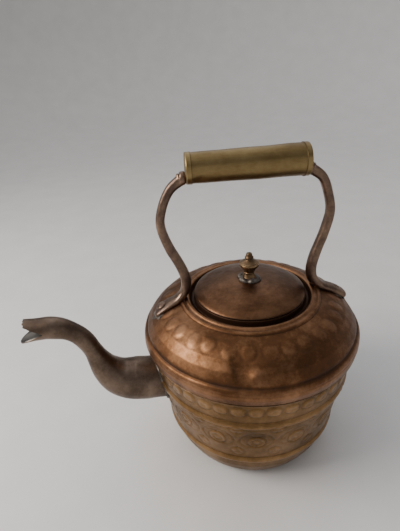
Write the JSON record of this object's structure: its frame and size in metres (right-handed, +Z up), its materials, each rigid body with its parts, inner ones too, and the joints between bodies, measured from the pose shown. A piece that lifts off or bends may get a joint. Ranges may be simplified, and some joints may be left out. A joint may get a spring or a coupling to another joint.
{
  "type": "copper tea kettle",
  "caption": "Round-bodied sheet-copper kettle with swan-neck spout, fixed arched handle with a tubular grip, and a domed lift-off lid with a turned finial.",
  "frame": {"origin": "centre of the flat bottom, where the pot's axis meets the surface that it stands on", "axes": "+Z up along the pot's axis, -X towards the spout along the handle's plane, +Y across the handle"},
  "size_m": [0.3038, 0.2004, 0.2959],
  "materials": {
    "body_copper": "old copper, hand-raised, dark brown patina rubbed bright on the high places",
    "spout_copper": "old copper, dull grey-brown patina",
    "grip_brass": "sheet brass, dulled by handling",
    "cast_brass": "cast brass, tarnished brown, worn on the edges",
    "tin_solder": "soft tin solder, dull grey"
  },
  "bodies": {
    "pot": {"lower_body": "body_copper", "shoulder_dome": "body_copper", "seam_solder": "tin_solder", "neck_ring": "body_copper", "spout": "spout_copper", "spout_solder": "tin_solder", "handle_arm_front": "cast_brass", "handle_arm_rear": "cast_brass", "foot_rivet_front": "cast_brass", "foot_rivet_rear": "cast_brass", "foot_solder_front": "tin_solder", "foot_solder_rear": "tin_solder", "grip_tube": "grip_brass", "grip_cap_front": "grip_brass", "grip_cap_rear": "grip_brass", "grip_tie_rod": "cast_brass"},
    "lid": {"lid_dome": "body_copper", "lid_flange": "body_copper", "finial": "cast_brass", "finial_washer": "cast_brass", "finial_solder": "tin_solder"}
  },
  "joints": [
    {"name": "lid_lift", "type": "slide", "parent": "pot", "child": "lid", "axis": [0, 0, 1], "range_m": [0, 0.06]}
  ]
}
